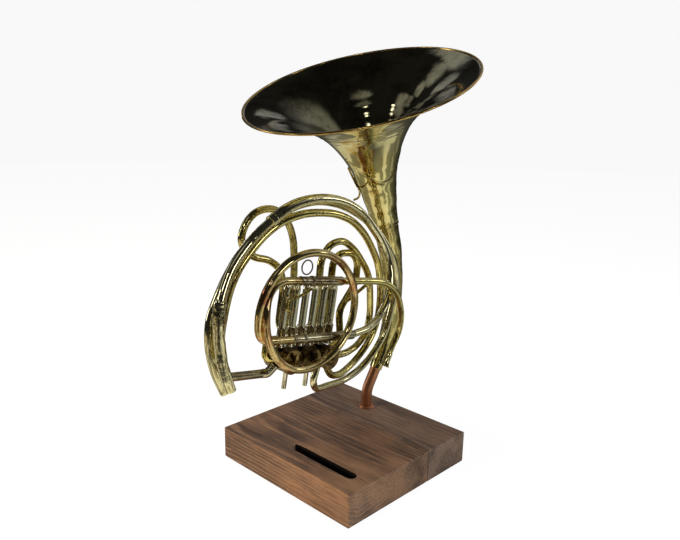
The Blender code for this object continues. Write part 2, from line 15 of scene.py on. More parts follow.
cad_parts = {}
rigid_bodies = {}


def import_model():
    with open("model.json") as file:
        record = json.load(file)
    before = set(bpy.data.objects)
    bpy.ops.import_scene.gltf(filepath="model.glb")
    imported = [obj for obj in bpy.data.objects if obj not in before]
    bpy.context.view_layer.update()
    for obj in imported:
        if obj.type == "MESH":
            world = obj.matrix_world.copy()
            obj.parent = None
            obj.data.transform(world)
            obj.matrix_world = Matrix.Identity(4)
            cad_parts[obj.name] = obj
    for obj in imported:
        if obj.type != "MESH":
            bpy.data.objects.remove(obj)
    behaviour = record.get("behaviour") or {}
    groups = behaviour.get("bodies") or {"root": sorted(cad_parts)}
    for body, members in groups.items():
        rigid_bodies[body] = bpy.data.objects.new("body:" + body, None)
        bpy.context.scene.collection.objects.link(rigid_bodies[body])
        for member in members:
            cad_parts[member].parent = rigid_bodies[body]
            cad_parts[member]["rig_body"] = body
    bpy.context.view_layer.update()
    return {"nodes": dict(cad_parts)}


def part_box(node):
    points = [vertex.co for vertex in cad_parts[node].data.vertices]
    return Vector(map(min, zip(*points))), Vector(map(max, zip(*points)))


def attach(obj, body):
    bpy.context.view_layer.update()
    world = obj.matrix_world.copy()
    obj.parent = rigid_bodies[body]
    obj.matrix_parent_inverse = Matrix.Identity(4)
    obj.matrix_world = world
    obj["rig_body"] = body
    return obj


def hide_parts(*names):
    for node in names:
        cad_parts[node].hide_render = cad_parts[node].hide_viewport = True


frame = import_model()

MM = 0.001
BASE_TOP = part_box("base_front_board")[1].z / MM
HORN_ORIGIN = Vector((-26.0, 69.0, BASE_TOP))
HORN_TILT = math.radians(-10.0)
TO_ROW = Matrix.Translation(HORN_ORIGIN * MM) @ Matrix.Rotation(HORN_TILT, 4, "X")
PIPE_PLACE = Vector((-26.0, 68.2, BASE_TOP))
PIPE_TO_ROW = Matrix.Translation(PIPE_PLACE * MM)

SIDES, ROD_SIDES = 28, 16
STEP = 2.2                      # spacing of the rings along a tube
SMOOTH_BELOW = 38.0             # edges sharper than this many degrees stay crisp
PLATE_EASE, KNURL_DEPTH = 0.4, 0.3


# ---------------------------------------------------------------- camera, lights and floor
def build_camera():
    camera = bpy.data.objects.new("camera", bpy.data.cameras.new("camera"))
    camera.location = (0.5367, -0.5658, 0.4329)
    camera.rotation_euler = [math.radians(angle) for angle in (76.10, -1.08, 44.42)]
    camera.data.sensor_width = 36.0
    camera.data.lens = 37.06
    camera.data.clip_start = 0.01
    bpy.context.scene.collection.objects.link(camera)
    bpy.context.scene.camera = camera


def node(tree, kind, inputs=None, **settings):
    """Adds a shader node; an input is a number, a colour or another node's socket."""
    made = tree.nodes.new("ShaderNode" + kind)
    for name, value in settings.items():
        setattr(made, name, value)
    for name, value in (inputs or {}).items():
        if isinstance(value, bpy.types.NodeSocket):
            tree.links.new(value, made.inputs[name])
        else:
            made.inputs[name].default_value = value
    return made


# each soft box of the studio: its direction, its inner and outer half angle, and its brightness
SOFT_BOXES = (((0.37, -0.69, 0.62), 2.6, 3.6, 9.0),
              ((-0.45, -0.72, 0.40), 3.0, 4.0, 7.0),
              ((0.90, -0.30, 0.30), 2.0, 3.0, 5.0),
              ((-0.82, -0.56, 0.12), 6, 7, 5.0),
              ((0.96, 0.22, 0.16), 5, 6, 5.0),
              ((-0.93, 0.34, 0.12), 4, 5, 4.0),
              ((-0.56, 0.62, 0.55), 4, 6, 0.42),
              ((-0.79, 0.40, 0.46), 4, 7, 0.42),
              ((-0.70, -0.54, 0.47), 7, 15, 0.50),
              ((0.62, 0.75, 0.20), 4, 5, 3.5),
              ((0.05, 0.95, 0.10), 8, 10, 1.0),
              ((0.20, 0.80, 0.50), 24, 42, 0.34),
              ((-0.84, -0.28, 0.47), 3, 7, 0.45),
              ((-0.80, -0.08, 0.60), 3, 7, 0.45),
              ((-0.74, 0.12, 0.66), 4, 8, 0.45),
              ((-0.64, 0.33, 0.69), 4, 9, 0.45),
              ((0.22, -0.50, 0.83), 5, 14, 0.40),
              ((-0.74, 0.66, 0.08), 7, 16, 0.50))
ROOM_DARK, ROOM_LOW, BACKDROP = 0.022, 0.17, 0.945
FLOOR_GLOW, FLOOR_SHARE = 0.93, 0.12
MIRRORED_DARK, MIRRORED_LIGHT = (0.20, 0.21, 0.18), (0.58, 0.60, 0.53)
MIRRORED_FAR = (0.10, 0.105, 0.09)
SHADE_PLACE, MIRRORED_SHADE = (0.40, -0.52, 0.0), (0.07, 0.07, 0.06)


def build_world():
    world = bpy.data.worlds.new("studio")
    bpy.context.scene.world = world
    world.use_nodes = True
    tree = world.node_tree
    tree.nodes.clear()
    direction = node(tree, "TexCoord").outputs["Generated"]
    height = node(tree, "SeparateXYZ", {"Vector": direction}).outputs["Z"]
    light = node(tree, "MapRange", {"Value": height, "From Min": -0.30, "From Max": 0.02,
                                    "To Min": ROOM_LOW, "To Max": ROOM_DARK},
                 interpolation_type="SMOOTHSTEP").outputs["Result"]
    for place, inner, outer, strength in SOFT_BOXES:
        facing = node(tree, "VectorMath", {0: direction, 1: Vector(place).normalized()},
                      operation="DOT_PRODUCT").outputs["Value"]
        glow = node(tree, "MapRange", {"Value": facing, "From Min": math.cos(math.radians(outer)),
                                       "From Max": math.cos(math.radians(inner)),
                                       "To Max": strength},
                    interpolation_type="SMOOTHSTEP").outputs["Result"]
        light = node(tree, "Math", {0: light, 1: glow}, operation="ADD").outputs["Value"]
    seen = node(tree, "LightPath").outputs["Is Camera Ray"]
    studio = node(tree, "Background", {"Color": (1.0, 1.0, 1.0, 1.0), "Strength": light})
    backdrop = node(tree, "Background", {"Color": (1.0, 1.0, 1.0, 1.0), "Strength": BACKDROP})
    mixed = node(tree, "MixShader", {"Fac": seen, 1: studio.outputs[0], 2: backdrop.outputs[0]})
    node(tree, "OutputWorld", {"Surface": mixed.outputs[0]})


def add_lamp(name, place, target, size, power, colour):
    lamp = bpy.data.lights.new(name, "AREA")
    lamp.color = colour
    lamp.size = size
    lamp.energy = power
    holder = bpy.data.objects.new(name, lamp)
    holder.location = place
    aim = Vector(target) - Vector(place)
    holder.rotation_euler = aim.to_track_quat("-Z", "Y").to_euler()
    holder.visible_glossy = False
    bpy.context.scene.collection.objects.link(holder)


def floor_paper():
    """White paper with a soft glow of its own; metal mirrors it dimmer and unevenly lit."""
    paper = bpy.data.materials.new("floor_paper")
    paper.use_nodes = True
    tree = paper.node_tree
    tree.nodes.clear()
    seen = node(tree, "LightPath").outputs["Is Camera Ray"]
    where = node(tree, "TexCoord").outputs["Object"]
    patches = remap(tree, noise_value(tree, where, 3.0, 1.0, 0.5), 0.46, 0.54)
    mirrored = blended(tree, patches, MIRRORED_DARK, MIRRORED_LIGHT)
    away = node(tree, "VectorMath", {0: where}, operation="LENGTH").outputs["Value"]
    mirrored = blended(tree, remap(tree, away, 0.55, 1.15), mirrored, MIRRORED_FAR)
    ahead = node(tree, "VectorMath", {0: where, 1: SHADE_PLACE}, operation="DISTANCE")
    shade = remap(tree, ahead.outputs["Value"], 0.30, 0.16)
    mirrored = blended(tree, shade, mirrored, MIRRORED_SHADE)
    dim = node(tree, "BsdfDiffuse", {"Color": mirrored}).outputs[0]
    share = (FLOOR_SHARE, FLOOR_SHARE, FLOOR_SHARE, 1.0)
    plain = node(tree, "BsdfDiffuse", {"Color": share}).outputs[0]
    glow = node(tree, "Emission", {"Color": (1.0, 1.0, 1.0, 1.0), "Strength": FLOOR_GLOW})
    bright = node(tree, "AddShader", {0: plain, 1: glow.outputs[0]}).outputs[0]
    mixed = node(tree, "MixShader", {"Fac": seen, 1: dim, 2: bright}).outputs[0]
    node(tree, "OutputMaterial", {"Surface": mixed})
    return paper


def build_studio():
    scene = bpy.context.scene
    scene.view_settings.view_transform = "Standard"
    build_world()
    add_lamp("key", (-0.5, -1.7, 0.50), (0, 0, 0.1), 0.5, 48, (1.0, 0.76, 0.54))
    add_lamp("side", (1.7, 0.1, 0.70), (0, 0, 0.1), 0.5, 30, (0.95, 0.96, 1.0))
    add_lamp("top", (-0.4, -0.3, 1.9), (0, 0, 0.1), 0.7, 16, (1.0, 1.0, 1.0))
    bm = bmesh.new()
    bmesh.ops.create_circle(bm, cap_ends=True, radius=4.0, segments=96)
    mesh = bpy.data.meshes.new("floor")
    bm.to_mesh(mesh)
    bm.free()
    mesh.materials.append(floor_paper())
    floor = bpy.data.objects.new("floor", mesh)
    scene.collection.objects.link(floor)


# ---------------------------------------------------------------- materials
def new_material(name):
    """The node tree and the shader of a new material."""
    made = bpy.data.materials.new(name)
    made.use_nodes = True
    return made.node_tree, made.node_tree.nodes["Principled BSDF"]


def noise_value(tree, coordinates, scale, detail=3.0, roughness=0.5):
    return node(tree, "TexNoise", {"Vector": coordinates, "Scale": scale, "Detail": detail,
                                   "Roughness": roughness}).outputs["Fac"]


def remap(tree, value, low, high, to_low=0.0, to_high=1.0):
    return node(tree, "MapRange", {"Value": value, "From Min": low, "From Max": high,
                                   "To Min": to_low, "To Max": to_high}).outputs["Result"]


def blended(tree, share, first, second):
    """Mixes two colours; either may be a colour or a socket."""
    mix = node(tree, "Mix", data_type="RGBA")
    for socket, value in ((mix.inputs[0], share), (mix.inputs[6], first), (mix.inputs[7], second)):
        if isinstance(value, bpy.types.NodeSocket):
            tree.links.new(value, socket)
        elif isinstance(value, tuple):
            socket.default_value = (*value, 1.0)
        else:
            socket.default_value = value
    return mix.outputs[2]


def metal(name, clean, tarnish, amount, gloss, spots=None, patches=(), patch_colour=None,
          waves=0.12, spot_level=0.60, spot_scale=420):
    """Worn metal: clean metal under cloudy tarnish, specks, fine grain, rubbed edges and shallow
    waves.

    amount is how much of the surface the tarnish takes; gloss is its lowest and highest
    roughness; patches are (place, radius) in the horn's frame where patch_colour is laid on,
    as real copper on the coil and as painted reflections on the bell and on the cut branch.
    spots is the colour of the specks, which a higher spot_level makes fewer and a higher
    spot_scale smaller; waves is how strongly the metal swells and dips.
    """
    tree, shader = new_material(name)
    where = node(tree, "TexCoord").outputs["Object"]
    clouds = noise_value(tree, where, 26, 5, 0.6)
    specks = noise_value(tree, where, 210, 6, 0.7)
    grain = noise_value(tree, where, 900, 3, 0.6)
    both = node(tree, "Math", {0: specks, 1: 0.35, 2: clouds}, operation="MULTIPLY_ADD")
    cover = remap(tree, both.outputs[0], 0.95 - 0.55 * amount, 1.05 - 0.35 * amount)
    colour = blended(tree, cover, clean, tarnish)
    # patches of patch_colour: real copper on the coil, painted reflections on the bell and the cut
    # branch
    if patches:
        near = None
        for place, radius in patches:
            centre = TO_ROW @ (Vector(place) * MM)
            away = node(tree, "VectorMath", {0: where, 1: centre}, operation="DISTANCE")
            here = remap(tree, away.outputs["Value"], radius * MM, radius * 0.35 * MM)
            near = here if near is None else node(tree, "Math", {0: near, 1: here},
                                                  operation="MAXIMUM").outputs[0]
        ragged = remap(tree, noise_value(tree, where, 95, 4, 0.6), 0.38, 0.60)
        strength = node(tree, "Math", {0: near, 1: ragged}, operation="MULTIPLY").outputs[0]
        colour = blended(tree, strength, colour, patch_colour)
    if spots:
        tiny = noise_value(tree, where, spot_scale, 4, 0.65)
        flecks = node(tree, "Math", {0: clouds, 1: 0.6, 2: tiny}, operation="MULTIPLY_ADD")
        dots = remap(tree, flecks.outputs[0], spot_level + 0.3, spot_level + 0.38)
        colour = blended(tree, dots, colour, spots)
    edge = node(tree, "NewGeometry").outputs["Pointiness"]
    worn = remap(tree, edge, 0.53, 0.60, 0.0, 0.7)
    colour = blended(tree, worn, colour, tuple(min(1.0, part * 1.15) for part in clean))
    tree.links.new(colour, shader.inputs["Base Color"])
    shader.inputs["Metallic"].default_value = 1.0
    dull = remap(tree, both.outputs[0], 0.4, 0.95, gloss[0], gloss[1])
    tree.links.new(dull, shader.inputs["Roughness"])
    swell = node(tree, "Bump", {"Height": noise_value(tree, where, 70, 2, 0.4),
                                "Strength": waves, "Distance": 0.0012})
    fine = node(tree, "Bump", {"Height": grain, "Strength": 0.06, "Distance": 0.0003,
                               "Normal": swell.outputs[0]})
    tree.links.new(fine.outputs[0], shader.inputs["Normal"])


def walnut(name, ring_y, ring_z, tone, slot_box=None):
    """Oiled walnut cut along X, its growth rings round a line at (ring_y, ring_z) millimetres.

    tone is its dark, middle and light colour; slot_box is the lowest and highest corner of a
    slot whose inside is coloured near-black.
    """
    tree, shader = new_material(name)
    where = node(tree, "TexCoord").outputs["Object"]
    slow = node(tree, "Mapping", {"Vector": where, "Scale": (3.5, 17.0, 17.0)}).outputs[0]
    drift = node(tree, "TexNoise", {"Vector": slow, "Scale": 1.0, "Detail": 4.0})
    bent = node(tree, "VectorMath", {0: drift.outputs["Color"], 1: (0.5, 0.5, 0.5)},
                operation="SUBTRACT")
    bent = node(tree, "VectorMath", {0: bent.outputs[0], "Scale": 0.027}, operation="SCALE")
    moved = node(tree, "VectorMath", {0: where, 1: bent.outputs[0]}, operation="ADD")
    split = node(tree, "SeparateXYZ", {"Vector": moved.outputs[0]})
    across = node(tree, "CombineXYZ", {"Y": split.outputs["Y"], "Z": split.outputs["Z"]})
    reach = node(tree, "VectorMath", {0: across.outputs[0], 1: (0, ring_y * MM, ring_z * MM)},
                 operation="DISTANCE").outputs["Value"]
    turn = node(tree, "Math", {0: reach, 1: 1350.0}, operation="MULTIPLY").outputs[0]
    ring = remap(tree, node(tree, "Math", {0: turn}, operation="SINE").outputs[0], -1.0, 1.0)
    broad = node(tree, "Mapping", {"Vector": where, "Scale": (7.0, 46.0, 46.0)}).outputs[0]
    bands = noise_value(tree, broad, 1.0, 5, 0.6)
    zones = noise_value(tree, node(tree, "Mapping", {"Vector": where, "Scale": (9.0, 22.0, 22.0)})
                        .outputs[0], 1.0, 2, 0.5)
    streaky = node(tree, "Mapping", {"Vector": where, "Scale": (22.0, 620.0, 620.0)}).outputs[0]
    streaks = noise_value(tree, streaky, 1.0, 5, 0.65)
    porous = node(tree, "Mapping", {"Vector": where, "Scale": (90.0, 1500.0, 1500.0)}).outputs[0]
    pores = noise_value(tree, porous, 1.0, 2, 0.5)
    dark, middle, light = tone
    colour = blended(tree, remap(tree, bands, 0.36, 0.66), dark, middle)
    warm = remap(tree, zones, 0.46, 0.62, 0.0, 0.7)
    colour = blended(tree, warm, colour, light)
    fine = node(tree, "Math", {0: remap(tree, ring, 0.66, 1.0, 0.0, 0.75),
                               1: remap(tree, bands, 0.25, 0.50)}, operation="MULTIPLY")
    colour = blended(tree, fine.outputs[0], colour, light)
    colour = blended(tree, remap(tree, streaks, 0.47, 0.70, 0.0, 0.75), colour,
                     tuple(part * 0.45 for part in dark))
    pits = remap(tree, pores, 0.64, 0.72)
    colour = blended(tree, pits, colour, (0.016, 0.010, 0.007))
    # the inside of the slot is coloured near-black, far darker than the wood around it
    if slot_box:
        inside = None
        spot = node(tree, "SeparateXYZ", {"Vector": where})
        for axis, low, high in zip("XYZ", *slot_box):
            for limit, operation in ((low, "GREATER_THAN"), (high, "LESS_THAN")):
                passed = node(tree, "Math", {0: spot.outputs[axis], 1: limit * MM},
                              operation=operation).outputs[0]
                inside = passed if inside is None else node(
                    tree, "Math", {0: inside, 1: passed}, operation="MULTIPLY").outputs[0]
        colour = blended(tree, inside, colour, (0.004, 0.004, 0.004))
    tree.links.new(colour, shader.inputs["Base Color"])
    tree.links.new(remap(tree, streaks, 0.3, 0.7, 0.42, 0.60), shader.inputs["Roughness"])
    shader.inputs["Specular IOR Level"].default_value = 0.3
    low = node(tree, "Math", {0: pits, 1: -0.6, 2: streaks}, operation="MULTIPLY_ADD")
    bump = node(tree, "Bump", {"Height": low.outputs[0], "Strength": 0.25, "Distance": 0.0003})
    tree.links.new(bump.outputs[0], shader.inputs["Normal"])


def felt():
    """Black pressed felt."""
    tree, shader = new_material("felt_black")
    where = node(tree, "TexCoord").outputs["Object"]
    fuzz = noise_value(tree, where, 1400, 6, 0.8)
    colour = blended(tree, fuzz, (0.012, 0.012, 0.013), (0.05, 0.05, 0.052))
    tree.links.new(colour, shader.inputs["Base Color"])
    shader.inputs["Roughness"].default_value = 0.95
    shader.inputs["Sheen Weight"].default_value = 0.4
    bump = node(tree, "Bump", {"Height": fuzz, "Strength": 0.6, "Distance": 0.0005})
    tree.links.new(bump.outputs[0], shader.inputs["Normal"])


BRASS, BRASS_BROWN = (0.80, 0.67, 0.22), (0.42, 0.285, 0.05)
RED_COPPER = (0.50, 0.19, 0.085)
COIL_PATCHES = (((66, -165, 208), 26), ((66, -142, 180), 20), ((63, -248, 128), 26),
                ((66, -222, 90), 15), ((64, -256, 165), 20))
# painted reflection: the deep gold below and its distances down the bell stand for the coils
# mirrored in the bell's sheet
PAINTED_REFLECTION_GOLD = (0.56, 0.33, 0.03)
STREAK_START, STREAK_END, STREAK_STEP = 50, 175, 15     # distances down the bell
# painted reflection: the cut branch gets a row of dark, mottled patches down its front, standing
# for the dark middle its round face mirrors
DARK_BAND_OFFSET, DARK_BAND_R = 4.3, 5.4                          # dark mottling on the cut branch


def painted_reflection_streak():
    """Painted reflection: deep gold patches down the bell, in a streak that winds slowly towards
    the front, standing for the coils mirrored in the crumpled sheet.
    """
    patches = []
    for distance in range(STREAK_START, STREAK_END, STREAK_STEP):
        side = Vector((0.13 + distance / 300, -1.0, 0.0))
        patches.append((beside_bell(distance, 0, side), 0.36 * bell_radius(distance)))
    return patches


def build_materials():
    # the bell and the throat take the painted gold reflection in their patches
    streak = painted_reflection_streak()
    metal("bell_brass", (0.80, 0.72, 0.38), BRASS_BROWN, 0.12, (0.02, 0.09),
          (0.48, 0.38, 0.16), streak, PAINTED_REFLECTION_GOLD, waves=0.09, spot_level=0.65)
    metal("throat_brass", (0.80, 0.70, 0.32), BRASS_BROWN, 0.32, (0.02, 0.10),
          (0.34, 0.24, 0.08), streak, PAINTED_REFLECTION_GOLD, waves=0.24, spot_level=0.64)
    metal("tail_brass", (0.76, 0.64, 0.26), (0.30, 0.21, 0.06), 0.45, (0.03, 0.14),
          (0.20, 0.13, 0.05), waves=0.28)
    # painted shade: the inside of the bell is brass painted far darker than the outside, on top of
    # its tarnish, standing for the shade in the bell's hollow
    metal("bell_inside", (0.30, 0.28, 0.17), (0.082, 0.075, 0.046), 0.64, (0.02, 0.12),
          (0.26, 0.22, 0.11), waves=0.16)
    metal("rim_brass", (0.76, 0.50, 0.16), (0.38, 0.21, 0.06), 0.4, (0.10, 0.24))
    metal("tube_brass", BRASS, BRASS_BROWN, 0.62, (0.02, 0.12), (0.16, 0.11, 0.035),
          waves=0.24, spot_level=0.55)
    metal("pale_brass", (0.80, 0.69, 0.27), (0.42, 0.30, 0.075), 0.50, (0.03, 0.14),
          (0.20, 0.14, 0.05), waves=0.24, spot_level=0.56)
    metal("coil_brass", (0.78, 0.64, 0.30), (0.38, 0.24, 0.08), 0.50, (0.03, 0.16),
          (0.22, 0.10, 0.035), COIL_PATCHES, RED_COPPER, waves=0.22)
    metal("silver_brass", (0.84, 0.77, 0.46), (0.42, 0.34, 0.14), 0.40, (0.02, 0.12),
          (0.16, 0.12, 0.05), waves=0.26, spot_level=0.58)
    # painted reflection: dark patches down the cut branch, set off towards the front of the horn
    towards_front = Vector((DARK_BAND_OFFSET, -DARK_BAND_OFFSET, 0.0))
    painted_dark_band = [(place + towards_front, DARK_BAND_R) for place in CUT_LINE[5:-5:3]]
    metal("spotted_brass", (0.88, 0.80, 0.48), (0.44, 0.36, 0.16), 0.30, (0.02, 0.10),
          (0.035, 0.032, 0.022), painted_dark_band, (0.10, 0.095, 0.065), waves=0.40,
          spot_level=0.53, spot_scale=800)
    metal("sleeve_nickel", (0.54, 0.48, 0.32), (0.25, 0.19, 0.095), 0.55, (0.10, 0.28),
          (0.12, 0.09, 0.05), spot_level=0.57)
    metal("slide_brass", (0.84, 0.80, 0.58), (0.38, 0.32, 0.17), 0.36, (0.03, 0.14),
          (0.16, 0.11, 0.05))
    metal("ring_steel", (0.20, 0.20, 0.19), (0.08, 0.08, 0.075), 0.5, (0.2, 0.4))
    metal("valve_brass", (0.36, 0.25, 0.10), (0.07, 0.045, 0.02), 0.8, (0.14, 0.36),
          (0.03, 0.02, 0.012))
    metal("pipe_copper", (0.70, 0.32, 0.17), (0.52, 0.21, 0.10), 0.2, (0.30, 0.42), waves=0.03)
    front_tone = ((0.048, 0.031, 0.023), (0.124, 0.077, 0.052), (0.240, 0.138, 0.078))
    rear_tone = ((0.048, 0.034, 0.027), (0.116, 0.079, 0.060), (0.200, 0.134, 0.094))
    slot_box = ((-13.0, -78.8, 4.0), (85.0, -65.2, BASE_TOP - 0.25))
    walnut("walnut_front", -72.0, 128.0, front_tone, slot_box)
    walnut("walnut_rear", -18.0, 150.0, rear_tone)
    walnut("walnut_cover", 0.0, -200.0, rear_tone)
    felt()


# ---------------------------------------------------------------- meshes
def make_piece(name, mesh, finishes):
    mesh.shade_smooth()
    mesh.set_sharp_from_angle(angle=math.radians(SMOOTH_BELOW))
    for finish in finishes:
        mesh.materials.append(bpy.data.materials[finish])
    made = bpy.data.objects.new(name, mesh)
    bpy.context.scene.collection.objects.link(made)
    return made


def skin(name, rings, finishes, to_row=TO_ROW, closed=True, second_from=None):
    """Quads over equal rings, round to the first again when closed, else with flat ends.

    Spans from second_from on take the second finish.
    """
    sides, count = len(rings[0]), len(rings)
    spans = count if closed else count - 1
    faces = []
    for i in range(spans):
        a, b = i * sides, (i + 1) % count * sides
        for k in range(sides):
            after = (k + 1) % sides
            faces.append((a + k, a + after, b + after, b + k))
    if not closed:
        faces.append(tuple(reversed(range(sides))))
        faces.append(tuple(range((count - 1) * sides, count * sides)))
    mesh = bpy.data.meshes.new(name)
    mesh.from_pydata([to_row @ (place * MM) for ring in rings for place in ring], [], faces)
    if second_from is not None:
        for polygon in mesh.polygons:
            if polygon.index >= second_from * sides:
                polygon.material_index = 1
    bm = bmesh.new()
    bm.from_mesh(mesh)
    bmesh.ops.recalc_face_normals(bm, faces=bm.faces)
    bm.to_mesh(mesh)
    bm.free()
    return make_piece(name, mesh, finishes)


def ring_round(centre, side, other, radius, sides=SIDES):
    ring = []
    for k in range(sides):
        angle = 2 * math.pi * k / sides
        ring.append(centre + (side * math.cos(angle) + other * math.sin(angle)) * radius)
    return ring


def carried(points):
    """Tangent and two side directions at each point, carried along without twist."""
    frames = []
    side = None
    for i, point in enumerate(points):
        ahead = points[min(i + 1, len(points) - 1)] - point
        behind = point - points[max(i - 1, 0)]
        tangent = (ahead.normalized() + behind.normalized()).normalized()
        if side is None:
            side = tangent.orthogonal()
        side = (side - tangent * side.dot(tangent)).normalized()
        frames.append((tangent, side, tangent.cross(side)))
    return frames


def dented(ring, centre, depth, size):
    """Moves a ring in or out by smooth noise, as years of knocks do."""
    if not depth:
        return ring
    return [place + (place - centre).normalized() * (noise.noise(place / size) * depth)
            for place in ring]


def lip(outer, inner, push):
    """The ring halfway between an outer and an inner one, pushed out past them."""
    return [(a + b) / 2 + push for a, b in zip(outer, inner)]


def hollow(name, line, radii, wall, finish, to_row=TO_ROW, sides=SIDES, dent=0.10,
           dent_size=14.0):
    """A hollow tube along the line with softened ends."""
    frames = carried(line)
    outer, inner = [], []
    for place, (_, side, other), radius in zip(line, frames, radii):
        outer.append(dented(ring_round(place, side, other, radius, sides), place, dent,
                            dent_size))
        inner.append(dented(ring_round(place, side, other, radius - wall, sides), place, dent,
                            dent_size))
    ease = wall * 0.3
    start_lip = lip(outer[0], inner[0], frames[0][0] * -ease)
    end_lip = lip(outer[-1], inner[-1], frames[-1][0] * ease)
    return skin(name, outer + [end_lip] + inner[::-1] + [start_lip], [finish], to_row)


def solid(name, line, radius, finish):
    """A solid rod along the line with rounded ends."""
    frames = carried(line)
    rings = []
    for place, (tangent, side, other) in ((line[0], frames[0]), (line[-1], frames[-1])):
        way = -1 if place is line[0] else 1
        cap = []
        for share in (0.30, 0.65, 0.88):
            angle = math.acos(share)
            cap.append(ring_round(place + tangent * (way * radius * (math.sin(angle) - 0.6)),
                                  side, other, radius * share, ROD_SIDES))
        rings.append(cap if way < 0 else cap[::-1])
    body = [ring_round(place, side, other, radius, ROD_SIDES)
            for place, (_, side, other) in zip(line, frames)]
    return skin(name, rings[0] + body[1:-1] + rings[1], [finish], closed=False)


def turned(name, profile, place, direction, finish, to_row=TO_ROW, sides=48, closed=False,
           notches=0):
    """Turns (radius, height) pairs about direction; notches knurls every so many sides."""
    axis = Vector(direction).normalized()
    side = axis.orthogonal().normalized()
    other = axis.cross(side)
    widest = max(radius for radius, _ in profile)
    rings = []
    for radius, height in profile:
        centre = Vector(place) + axis * height
        ring = ring_round(centre, side, other, max(radius, 0.02), sides)
        if notches and radius > widest - 0.05:
            ring = [centre + (p - centre) * (1 - KNURL_DEPTH / radius * (k % notches == 0))
                    for k, p in enumerate(ring)]
        rings.append(ring)
    return skin(name, rings, [finish], to_row, closed=closed)


def plate(name, outline, low, high, finish):
    """A flat plate: an outline in (u, w) between two depths, with softened edges."""
    bm = bmesh.new()
    floor = [bm.verts.new(Vector((low, u, w)) * MM) for u, w in outline]
    top = [bm.verts.new(Vector((high, u, w)) * MM) for u, w in outline]
    for k in range(len(outline)):
        after = (k + 1) % len(outline)
        bm.faces.new((floor[k], floor[after], top[after], top[k]))
    bm.faces.new(floor)
    bm.faces.new(top)
    bmesh.ops.recalc_face_normals(bm, faces=bm.faces)
    rim = [edge for edge in bm.edges if edge.calc_face_angle() > math.radians(50)]
    bmesh.ops.bevel(bm, geom=rim, offset=PLATE_EASE * MM, segments=2, affect="EDGES")
    bm.transform(TO_ROW)
    mesh = bpy.data.meshes.new(name)
    bm.to_mesh(mesh)
    bm.free()
    return make_piece(name, mesh, [finish])


def stands_for(piece, *nodes):
    """The piece takes the place of these CAD nodes and joins the body of the first."""
    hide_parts(*nodes)
    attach(piece, frame["nodes"][nodes[0]]["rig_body"])


def belongs(piece, body="horn"):
    """The piece is an extra detail, with no CAD node of its own."""
    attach(piece, body)


# ---------------------------------------------------------------- lines
def evenly(points, step=STEP):
    """The same line with points about a step apart."""
    lengths = [0.0]
    for a, b in zip(points, points[1:]):
        lengths.append(lengths[-1] + (b - a).length)
    count = max(2, round(lengths[-1] / step))
    even, at = [], 0
    for k in range(count + 1):
        target = lengths[-1] * k / count
        while at < len(points) - 2 and lengths[at + 1] < target:
            at += 1
        share = (target - lengths[at]) / max(lengths[at + 1] - lengths[at], 1e-9)
        even.append(points[at].lerp(points[at + 1], share))
    return even


def bends(*corners, step=STEP):
    """Straight runs joined by arcs; each inner corner is (x, u, w, bend radius)."""
    places = [Vector(corner[:3]) for corner in corners]
    points = [places[0]]
    for i in range(1, len(corners) - 1):
        into = (places[i] - places[i - 1]).normalized()
        away = (places[i + 1] - places[i]).normalized()
        angle = into.angle(away)
        axis = into.cross(away).normalized()
        start = places[i] - into * (corners[i][3] * math.tan(angle / 2))
        centre = start + axis.cross(into) * corners[i][3]
        steps = max(2, math.ceil(math.degrees(angle) / 3))
        for k in range(steps + 1):
            spin = Matrix.Rotation(angle * k / steps, 3, axis)
            points.append(centre + spin @ (start - centre))
    points.append(places[-1])
    return evenly(points, step)


def slope(before, here, after):
    """Direction of a smooth curve at a knot, weighted towards the nearer neighbour."""
    back, ahead = (here - before).length, (after - here).length
    mean = (here - before) / back * ahead + (after - here) / ahead * back
    return mean / (back + ahead)


def with_neighbours(knots, i):
    """The knot before span i, the span's two ends and the knot after it."""
    a, b = knots[i], knots[i + 1]
    before = knots[i - 1] if i else a * 2 - b
    after = knots[i + 2] if i + 2 < len(knots) else b * 2 - a
    return before, a, b, after


def eased(t, a, leave, b, arrive):
    """A cubic from a to b, with these slopes at its ends."""
    return (a * (2 * t**3 - 3 * t**2 + 1) + leave * (t**3 - 2 * t**2 + t)
            + b * (3 * t**2 - 2 * t**3) + arrive * (t**3 - t**2))


def flowing(*knots, step=STEP):
    """A smooth curve through the knots."""
    places = [Vector(knot) for knot in knots]
    dense = []
    for i in range(len(places) - 1):
        before, a, b, after = with_neighbours(places, i)
        span = (b - a).length
        leave = slope(before, a, b) * span
        arrive = slope(a, b, after) * span
        dense += [eased(k / 16, a, leave, b, arrive) for k in range(16)]
    dense.append(places[-1])
    return evenly(dense, step)


def tapered(line, start, end):
    last = len(line) - 1
    return [start + (end - start) * i / last for i in range(last + 1)]


def point_along(points, distance):
    """Place at a distance along the points, with the direction there."""
    for a, b in zip(points, points[1:]):
        length = (b - a).length
        if distance <= length:
            return a.lerp(b, distance / length), (b - a).normalized()
        distance -= length
    return points[-1], (points[-1] - points[-2]).normalized()


def line_length(points):
    return sum((b - a).length for a, b in zip(points, points[1:]))


def tube(node_name, line, start_r=4.1, end_r=None, finish="tube_brass", wall=0.5, **more):
    """The fine piece for a CAD tube."""
    radii = tapered(line, start_r, end_r or start_r)
    stands_for(hollow(node_name + "_fine", line, radii, wall, finish, **more), node_name)


def band_profile(inner, outer, length, bead):
    """A thin band with a round bead at each end."""
    half = length / 2
    turns = [math.radians(angle) for angle in range(-90, 91, 30)]
    low = [(outer + bead * math.cos(a), bead - half + bead * math.sin(a)) for a in turns]
    return [(inner, -half)] + low + [(r, -h) for r, h in reversed(low)] + [(inner, half)]


